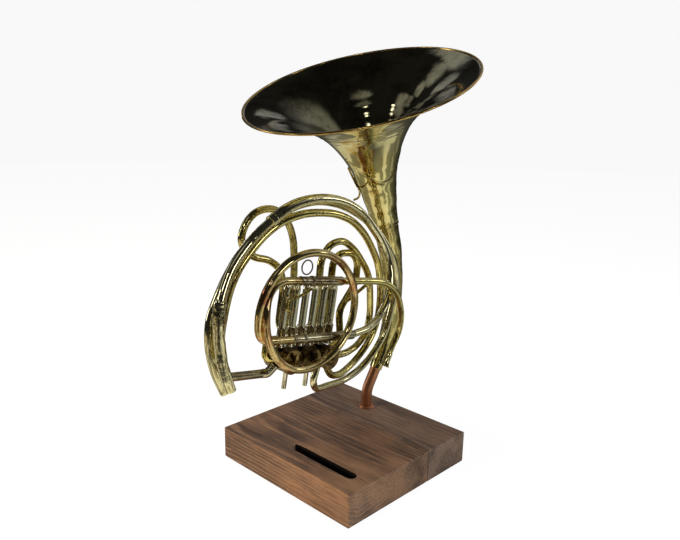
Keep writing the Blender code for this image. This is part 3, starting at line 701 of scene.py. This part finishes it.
def hoop_profile(radius, wire_r, count):
    """Round wire bent into a hoop."""
    turns = [2 * math.pi * k / count for k in range(count)]
    return [(radius + wire_r * math.cos(a), wire_r * math.sin(a)) for a in turns]


def band(name, place, along, inner, outer, length, finish, bead=0.45):
    return turned(name, band_profile(inner, outer, length, bead), place, along, finish,
                  closed=True)


# ---------------------------------------------------------------- base
def build_base():
    for name, finish in (("base_front_board", "walnut_front"), ("base_rear_board", "walnut_rear"),
                         ("sound_channel_cover", "walnut_cover"), ("base_felt", "felt_black")):
        board = frame["nodes"][name]
        board.data.materials.clear()
        board.data.materials.append(bpy.data.materials[finish])


# ---------------------------------------------------------------- copper pipe
PIPE_R, PIPE_KNEE, PIPE_LEAN = 6.9, 24.0, math.radians(31.8)


def build_pipe():
    rise = 37
    line = bends((0, 0, -20), (0, 0, PIPE_KNEE, 26),
                 (0, rise * math.tan(PIPE_LEAN), PIPE_KNEE + rise), step=1.5)
    piece = hollow("copper_pipe_fine", line, tapered(line, PIPE_R, PIPE_R), 0.9,
                   "pipe_copper", PIPE_TO_ROW, sides=40, dent=0.05)
    stands_for(piece, "copper_pipe")
    collar = [(PIPE_R + 0.05, 0.1), (PIPE_R + 3.2, 0.1), (PIPE_R + 3.3, 0.5),
              (PIPE_R + 3.0, 1.0), (PIPE_R + 1.7, 1.5), (PIPE_R + 1.4, 2.0),
              (PIPE_R + 1.35, 3.3), (PIPE_R + 1.0, 3.6), (PIPE_R + 0.05, 3.6)]
    stands_for(turned("copper_collar_fine", collar, (0, 0, 0), (0, 0, 1), "pipe_copper",
                      PIPE_TO_ROW, closed=True), "copper_collar")


# ---------------------------------------------------------------- bell
BELL_R, BELL_WALL, RIM_R = 138.6, 0.6, 1.35
BELL_STATIONS = ((0.0, BELL_R), (5.0, 122.0), (16.0, 98.0), (36.0, 69.0), (62.0, 46.5),
                 (96.0, 30.0), (148.0, 19.0), (236.0, 13.5), (310.0, 10.2), (352.0, 8.7))
FLARE_LENGTH, THROAT_LENGTH = 78.0, 172.0
BELL_LINE = bends((-3, -95.5, 394), (-5.8, -69.7, 351.2, 200), (0, 1, 205, 130),
                  (0, 26, 135, 150), (0, 16, 76, 80), (0, 6, 51), step=1.0)
LEFT_FRONT = Vector((-0.7, -0.7, 0.0))


def bell_radius(distance):
    """Outer radius of the bell, read from its stations on a log scale."""
    knots = [Vector((0.0, place, math.log(radius))) for place, radius in BELL_STATIONS]
    for i in range(len(knots) - 1):
        before, a, b, after = with_neighbours(knots, i)
        if distance <= b.y or i == len(knots) - 2:
            rise = [slope(before, a, b), slope(a, b, after)]
            span = b.y - a.y
            first, second = (way.z / way.y * span for way in rise)
            return math.exp(eased((distance - a.y) / span, a.z, first, b.z, second))


def beside_bell(distance, clearance, side=LEFT_FRONT):
    """A place on one side of the bell, clear of its surface."""
    place, along = point_along(BELL_LINE, distance)
    out = (side - along * side.dot(along)).normalized()
    return place + out * (bell_radius(distance) + clearance)


def bell_dent(place, distance):
    """How far knocks have moved the sheet out; the throat is crumpled, the flare smoother."""
    crumpled = min(1.0, max(0.0, (distance - 70) / 35)) * min(1.0, bell_radius(distance) / 19)
    rise = 0.5 * noise.noise(place / 42)
    rise += crumpled * (0.85 * noise.noise(place / 17) + 0.2 * noise.noise(place / 6.5))
    return rise


def seam_rise(distance, around):
    """Height of the soldered seam that crosses the throat in a slanting loop."""
    line = 114 - 45 * (1 - math.cos(around - 0.44))
    return 0.9 * math.exp(-((distance - line) / 1.5) ** 2)


def bell_stretch(name, start, end, count, crowd, sides, finish):
    """One sheet of the bell, outside and inside; crowd packs rings towards the start."""
    outer, inner, places, distances = [], [], [], []
    for k in range(count + 1):
        distance = start + (end - start) * (k / count) ** crowd
        radius = bell_radius(distance)
        steepness = (radius - bell_radius(distance + 0.5)) / 0.5
        places.append(point_along(BELL_LINE, distance)[0])
        distances.append(distance)
        outer.append(radius)
        inner.append(radius - BELL_WALL * math.hypot(1, steepness))
    rings = []
    for radii, seam in ((outer, FLARE_LENGTH < end <= THROAT_LENGTH), (inner, False)):
        sheet = []
        for place, (along, side, other), radius, distance in zip(places, carried(places), radii,
                                                                 distances):
            front = Vector((1, 0, 0))
            front = (front - along * front.dot(along)).normalized()
            ring = []
            for spot in ring_round(place, side, other, radius, sides):
                out = (spot - place).normalized()
                rise = bell_dent(spot, distance)
                if seam:
                    around = math.atan2(out.dot(along.cross(front)), out.dot(front))
                    rise += seam_rise(distance, around)
                ring.append(spot + out * rise)
            sheet.append(ring)
        rings.append(sheet)
    # the inner sheet takes the darker inside finish, whose colour is painted shade
    piece = skin(name + "_fine", rings[0] + rings[1][::-1], [finish, "bell_inside"],
                 second_from=count + 1)
    stands_for(piece, name)


def build_bell():
    mouth, down = point_along(BELL_LINE, 0.0)
    stands_for(turned("bell_rim_wire_fine", hoop_profile(BELL_R, RIM_R, 20), mouth, -down,
                      "rim_brass", sides=192, closed=True), "bell_rim_wire")
    bell_stretch("bell_flare", 0.05, FLARE_LENGTH, 60, 2.2, 160, "bell_brass")
    bell_stretch("bell_throat", FLARE_LENGTH, THROAT_LENGTH, 110, 1.0, 112, "throat_brass")
    bell_stretch("bell_tail", THROAT_LENGTH, line_length(BELL_LINE), 110, 1.0, 72, "tail_brass")
    place, along = point_along(BELL_LINE, THROAT_LENGTH)
    inner = bell_radius(THROAT_LENGTH - 3) - 0.3
    stands_for(band("bell_ferrule_fine", place, along, inner, inner + 0.5, 5.0, "tail_brass",
                    bead=0.2), "bell_ferrule")
    wire = flowing(beside_bell(94, 0.9), beside_bell(99, 1.5), beside_bell(115, 1.8),
                   (-3, -70, 275), (5, -78, 270.5), (14, -90, 267.5), (26, -109, 265), step=1.0)
    stands_for(solid("bell_brace_wire_fine", wire, 1.3, "tube_brass"), "bell_brace_wire")
    foot = beside_bell(95, 0.3)
    pad = [(0, 0.9), (1.6, 0.85), (2.8, 0.4), (3.4, -0.2), (3.4, -0.5), (0, -0.5)]
    belongs(turned("brace_foot", pad, foot, foot - point_along(BELL_LINE, 95)[0], "tube_brass",
                   sides=32))


# ---------------------------------------------------------------- long branches
VALVE_X, VALVE_W, VALVE_R, VALVE_L = 38.0, 91.0, 13.3, 30.0
VALVE_U = (-197.0, -169.0, -141.0)


def on_casing(number, degrees):
    """A place in a valve casing's wall; 0 degrees points along u, 90 along w."""
    angle = math.radians(degrees)
    reach = VALVE_R - 0.6
    return (VALVE_X, VALVE_U[number - 1] + reach * math.cos(angle),
            VALVE_W + reach * math.sin(angle))


OUTER_LINE = flowing((58, -113, 118), (57, -90, 123), (54, -68, 136), (49, -52, 154),
                     (45, -46, 176), (40, -49, 198), (36, -60, 218), (33, -77, 235),
                     (31, -99, 251), (29, -119, 259), (28, -146, 262.5), (28, -168, 261),
                     (28, -193, 255), (28, -212, 246), (28, -226, 235.5))
DARK_LINE = flowing((28, -228, 234), (28, -243, 221), (28, -259, 203), (28, -271, 184),
                    (30, -279, 164), (32, -282.5, 152))
CUT_LINE = flowing((32, -283.2, 149), (32, -282, 132), (32, -279, 116), (32, -272, 92),
                   (32, -257, 61))
REAR_LINE = flowing((10, -246, 50), (8, -261, 75), (6, -270, 102), (4, -271, 127),
                    (4, -265, 150), (4, -255, 175), (4, -238, 201), (4, -207, 232),
                    (6, -172, 252), (8, -148, 258), (12, -116, 257), (18, -75, 243),
                    (22, -43, 221), (24, -19, 195), (24, -9, 173), (24, -9, 147), (24, -12, 124),
                    (24, -18, 103), (24, -32, 82), (25, -52, 65), (27, -82, 53), (31, -115, 50),
                    (35, -138, 51), (38, -146, 60), on_casing(3, -100))
INNER_LINE = flowing((19, -262, 90), (18, -266, 110), (18, -266, 132), (17, -260, 166),
                     (17, -254, 181), (17, -242, 199),
                     (18, -229, 215), (20, -212, 230), (22, -185, 242), (23, -157, 246.5),
                     (24, -127, 246), (25, -107, 241), (26, -86, 229), (26, -68, 213),
                     (26, -53, 195), (26, -43, 173), (26, -37, 148), (26, -37, 123),
                     (26, -43, 104), (27, -57, 86), (30, -80, 70), (35, -105, 63),
                     (38, -119, 65.5), on_casing(3, -50))


def build_branches():
    tube("outer_branch", OUTER_LINE, 4.1, 5.9, "silver_brass", wall=0.6)
    tube("dark_branch", DARK_LINE, 4.8, 4.9, "spotted_brass", wall=0.6)
    tube("cut_branch", CUT_LINE, 6.1, 5.9, "spotted_brass", wall=0.7, sides=36, dent=0.5,
         dent_size=8.0)
    tube("rear_branch", REAR_LINE, 5.0, 4.0, "silver_brass", wall=0.6)
    tube("inner_branch", INNER_LINE, 4.6, 4.0, "pale_brass", wall=0.6)
    joint, along = (OUTER_LINE[-1] + DARK_LINE[0]) / 2, DARK_LINE[0] - OUTER_LINE[-1]
    stands_for(band("outer_ferrule_fine", joint, along, 4.6, 6.1, 7, "silver_brass", bead=0.2),
               "outer_ferrule")
    joint, along = (DARK_LINE[-1] + CUT_LINE[0]) / 2, CUT_LINE[0] - DARK_LINE[-1]
    barrel = [(4.7, -3), (6.2, -3), (6.5, -2.2), (6.7, -0.8), (6.7, 0.8), (6.5, 2.2), (6.3, 3),
              (4.7, 3)]
    stands_for(turned("cut_ferrule_fine", barrel, joint, along, "spotted_brass", closed=True),
               "cut_ferrule")


# ---------------------------------------------------------------- crook
CROOK_X, RING_X = 58.0, 68.0
LEG_UPPER_W, LEG_LOWER_W = 178.0, 117.0
SLEEVE_R = 5.0


def oval(centre_u, centre_w, half_u, half_w, start, end, x_start, x_end):
    """Points on part of an oval, with the depth changing evenly along it."""
    steps = math.ceil(abs(end - start) / 2.5)
    points = []
    for k in range(steps + 1):
        share = k / steps
        angle = math.radians(start + (end - start) * share)
        points.append(Vector((x_start + (x_end - x_start) * share,
                              centre_u + half_u * math.cos(angle),
                              centre_w + half_w * math.sin(angle))))
    return points


def coil_line():
    """From the upper leg round one and a half turns to the lower leg."""
    centre_u, centre_w, rise = -197.0, 148.0, 61.0
    legs_u = -205.0
    upper = bends((CROOK_X, legs_u, LEG_UPPER_W), (CROOK_X, -249, LEG_UPPER_W, 26),
                  (CROOK_X + 6, -251, centre_w))
    last = oval(centre_u, centre_w, 59.5, rise, 90, 195, RING_X, CROOK_X + 1)
    lower = bends(last[-1], (CROOK_X, centre_u - 54.6, LEG_LOWER_W, 14),
                  (CROOK_X, legs_u, LEG_LOWER_W))
    ring = oval(centre_u, centre_w, 54, rise, 180, 270, CROOK_X + 6, RING_X)
    ring += oval(centre_u, centre_w, 67, rise, 270, 450, RING_X, RING_X)[1:]
    return upper[:-1] + ring + last[1:] + lower[1:]


def build_crook():
    line = [Vector((CROOK_X, -152, LEG_UPPER_W))] + coil_line()[1:-1]
    line = rounded(line + [Vector((CROOK_X, -152, LEG_LOWER_W))])
    tube("crook_coil", line, finish="coil_brass")
    for label, height, sleeve_end in (("upper", LEG_UPPER_W, -145), ("lower", LEG_LOWER_W, -115)):
        stands_for(band(f"crook_ferrule_{label}_fine", (CROOK_X, -199, height), (0, 1, 0), 4.0,
                        SLEEVE_R - 0.3, 15, "sleeve_nickel"), f"crook_ferrule_{label}")
        length = sleeve_end + 191
        sleeve = [(4.3, 0), (5.35, 0), (5.5, 0.5), (5.5, 2.6), (5.35, 3.1), (5.0, 3.4),
                  (5.0, length - 1), (4.8, length), (4.3, length)]
        stands_for(turned(f"crook_socket_{label}_fine", sleeve, (CROOK_X, -191, height),
                          (0, 1, 0), "sleeve_nickel", sides=36, closed=True),
                   f"crook_socket_{label}")
    stands_for(turned("crook_pull_ring_fine", hoop_profile(7.4, 0.8, 14),
                      (CROOK_X, -199, LEG_UPPER_W + 14.1), (1, 0, 0), "ring_steel",
                      closed=True), "crook_pull_ring")


def rounded(line, passes=10):
    """Eases the joints between stretches of a line; its ends stay."""
    even = evenly(line)
    for _ in range(passes):
        even = [even[0]] + [(a + b * 2 + c) / 4 for a, b, c in zip(even, even[1:], even[2:])] \
            + [even[-1]]
    return even


def build_leadpipe():
    line = flowing((58, -144.5, LEG_UPPER_W), (58, -120, LEG_UPPER_W), (58, -99, LEG_UPPER_W),
                   (59, -80, 177), (60, -66, 173), (59, -50, 164), (56, -35, 148), (52, -24, 130),
                   (48, -20, 112), (46, -25, 95), (46, -29, 85))
    tube("leadpipe", line, 4.0, 3.8, "pale_brass")
    start, end = Vector((46, -29.2, 84.5)), Vector((46, -34.5, 70.5))
    profile = [(3.3, -1.5), (4.3, -1.5), (4.5, -0.8), (4.4, 3), (4.45, 9), (4.9, 12), (5.6, 14.4),
               (5.75, 15.0), (5.6, 15.5), (5.0, 15.5), (4.5, 14.4), (3.5, 9)]
    stands_for(turned("mouthpiece_receiver_fine", profile, start, end - start, "bell_brass",
                      closed=True), "mouthpiece_receiver")


# ---------------------------------------------------------------- bows and braces
def build_bows():
    big = flowing((20, -136, 105.5), (20, -137, 150), (20, -141, 176), (20, -141, 195),
                  (20, -132, 210), (20, -114, 216.5), (19, -92, 209), (18, -73, 195),
                  (17, -56, 178), (15, -43, 147), (14, -38, 124), (15, -42, 105), (18, -56, 93),
                  (25, -78, 87.5), (35, -105, 87.4), on_casing(3, -15))
    tube("large_bow", big, finish="pale_brass")
    small = bends((24, -124, 101), (24, -127, 203, 17), (24, -86, 205, 19), (24, -84, 170, 22),
                  (26, -108, 137, 30), (36, -110, 106, 14), on_casing(3, 25))
    tube("inner_bow", small)
    loop = flowing((-14, -148, 131), (-14, -147, 159), (-14, -152, 194), (-14, -156, 210),
                   (-14, -168, 230), (-14, -186, 242), (-14, -205, 242), (-14, -218, 236),
                   (-14, -228, 222), (-14, -230, 208), (-14, -222, 196), (-14, -209, 190),
                   (-14, -189, 187), (-14, -171, 177), (-14, -163, 159), (-14, -162, 131))
    elbow_w = VALVE_W + 19
    first = bends((32.6, -148, elbow_w), (-14, -148, elbow_w, 9), (-14, -148, 130))
    last = bends((-14, -162, 130), (-14, -162, elbow_w, 9), (32.6, -162, elbow_w))
    tube("rear_crook", rounded(first[:-1] + loop + last[1:], 3), finish="pale_brass")
    rod = [Vector((44, -88, 170.6)), Vector((44, -102, 161.6)), Vector((44, -118, 151.4))]
    stands_for(solid("brace_rod_fine", evenly(rod), 2.0, "tube_brass"), "brace_rod")
    hook = bends((49, -204, 143), (49, -211, 146, 3), (49, -211, 157, 4), (49, -197, 159, 4),
                 (49, -179, 168), step=0.7)
    stands_for(solid("water_key_hook_fine", hook, 1.5, "tube_brass"), "water_key_hook")


# ---------------------------------------------------------------- valves
def screw(name, place, radius, height):
    """A domed screw head facing the front."""
    profile = [(0, 0), (radius, 0), (radius, height * 0.5), (radius * 0.86, height * 0.85),
               (radius * 0.5, height)]
    return turned(name, profile, place, (1, 0, 0), "valve_brass", sides=32)


def build_valve(number):
    centre_u = VALVE_U[number - 1]
    half, inner = VALVE_L / 2, VALVE_R - 2.0
    forward = (1, 0, 0)
    place = (VALVE_X, centre_u, VALVE_W)
    wall = VALVE_R - 0.5
    casing = [(inner, -half), (VALVE_R, -half), (VALVE_R, -half + 1.6), (wall, -half + 2.0),
              (wall, half - 2.0), (VALVE_R, half - 1.6), (VALVE_R, half), (inner, half)]
    stands_for(turned(f"valve_casing_{number}_fine", casing, place, forward, "valve_brass",
                      sides=64, closed=True), f"valve_casing_{number}")
    rotor = [(0, -half + 3), (inner - 0.3, -half + 3), (inner - 0.3, half - 3), (3.0, half - 3),
             (3.0, half + 3.9), (2.6, half + 4.4), (0, half + 4.4)]
    stands_for(turned(f"valve_rotor_{number}_fine", rotor, place, forward, "valve_brass"),
               f"valve_rotor_{number}")
    cover = [(0, -1.3), (2.2, -1.3), (2.6, -2.0), (6, -2.0), (9.5, -1.7), (11.2, -1.0),
             (VALVE_R, -0.9), (VALVE_R, 0), (inner - 0.3, 0), (inner - 0.3, 2.6), (0, 2.6)]
    rear = VALVE_X - half - 0.3
    stands_for(turned(f"valve_cap_{number}_fine", cover, (rear, centre_u, VALVE_W), forward,
                      "valve_brass", sides=96, notches=3), f"valve_cap_{number}")
    bearing = [(3.3, -2.6), (inner - 0.3, -2.6), (inner - 0.3, 0.3), (VALVE_R, 0.3),
               (VALVE_R, 1.2), (VALVE_R - 0.4, 1.6), (8.2, 1.6), (7.9, 2.4), (5.2, 2.6),
               (4.9, 3.4), (3.3, 3.4)]
    stands_for(turned(f"valve_bearing_{number}_fine", bearing,
                      (VALVE_X + half, centre_u, VALVE_W), forward, "valve_brass",
                      closed=True), f"valve_bearing_{number}")
    outline = []
    for centre_w, radius, start in ((0, 3.2, 180), (8.0, 2.0, 0)):
        for k in range(9):
            angle = math.radians(start + 22.5 * k)
            outline.append((centre_u + radius * math.cos(angle),
                            VALVE_W + centre_w + radius * math.sin(angle)))
    front = VALVE_X + half
    stands_for(plate(f"stop_arm_{number}_fine", outline, front + 4.6, front + 6.7,
                     "valve_brass"), f"stop_arm_{number}")
    belongs(screw(f"stop_screw_{number}", (front + 6.6, centre_u, VALVE_W), 2.1, 1.2),
            f"rotor_{number}")


SLIDE_HALF = 7.0
SLEEVE_TOP_W, SLIDE_TOP_W = 126.0, 172.0


def build_slide(number):
    centre_u = VALVE_U[number - 1]
    foot = VALVE_W + VALVE_R - 0.4
    length = SLEEVE_TOP_W - foot
    profile = [(4.2, 0), (5.3, 0), (5.3, 1.0), (4.8, 1.8), (4.8, length - 3.0),
               (5.15, length - 2.6), (5.15, length - 0.5), (4.9, length), (4.2, length)]
    sleeves = []
    for label, side in (("left", -1), ("right", 1)):
        place = (VALVE_X, centre_u + side * SLIDE_HALF, foot)
        sleeves.append(turned(f"slide_sleeve_{label}_{number}", profile, place, (0, 0, 1),
                              "sleeve_nickel", sides=32, closed=True))
    stands_for(sleeves[0], f"slide_sleeve_pair_{number}")
    belongs(sleeves[1])
    yoke = [Vector((VALVE_X, centre_u + share, SLEEVE_TOP_W - 8)) for share in (-2.6, 0, 2.6)]
    belongs(solid(f"sleeve_yoke_{number}", yoke, 1.5, "tube_brass"))
    bow = bends((VALVE_X, centre_u - SLIDE_HALF, SLEEVE_TOP_W - 22),
                (VALVE_X, centre_u - SLIDE_HALF, SLIDE_TOP_W, 6.9),
                (VALVE_X, centre_u + SLIDE_HALF, SLIDE_TOP_W, 6.9),
                (VALVE_X, centre_u + SLIDE_HALF, SLEEVE_TOP_W - 22), step=1.5)
    tube(f"valve_slide_{number}", bow, 4.0, finish="slide_brass", dent=0.05)


def build_posts():
    for number, post_u in enumerate((-192.0, -161.0), start=1):
        top_w = VALVE_W - VALVE_R + 0.4
        length = top_w - 58
        profile = [(0, 0), (3.2, 0), (3.0, -1.4), (2.6, -2.0), (2.6, -length + 0.5),
                   (2.2, -length), (0, -length)]
        post = turned(f"lever_post_{number}_fine", profile, (40, post_u, top_w), (0, 0, 1),
                      "slide_brass", sides=32)
        pin_hole = turned(f"pin_cutter_{number}", [(0, -4), (1.0, -4), (1.0, 4), (0, 4)],
                          (40, post_u, 61), (1, 0, 0), "slide_brass", sides=20)
        drill = post.modifiers.new("pin hole", "BOOLEAN")
        drill.object = pin_hole
        drill.solver = "EXACT"
        bpy.context.view_layer.objects.active = post
        post.select_set(True)
        bpy.ops.object.modifier_apply(modifier=drill.name)
        bpy.data.objects.remove(pin_hole)
        stands_for(post, f"lever_post_{number}")


def build_lower_tubes():
    tube("lower_connector", evenly([Vector((33, -261, 75.5)), Vector((34, -217, 75.5))]), 4.6,
         finish="sleeve_nickel")
    elbow = bends((34, -219.5, 75.5), (36, -214.5, 76, 5), on_casing(1, 212), step=0.8)
    tube("lower_connector_elbow", elbow, 4.9, finish="sleeve_nickel")
    knuckle = bends(on_casing(1, 178), (36, -220.5, VALVE_W + 0.5, 6.5),
                    (36, -220.5, 112, 6.5), (VALVE_X - 1, -209.2, 112), step=1.2)
    tube("first_valve_knuckle", knuckle)


# ---------------------------------------------------------------- the scene
build_camera()
build_studio()
build_materials()
build_base()
build_pipe()
build_bell()
build_branches()
build_crook()
build_leadpipe()
build_bows()
for valve_number in (1, 2, 3):
    build_valve(valve_number)
    build_slide(valve_number)
build_posts()
build_lower_tubes()
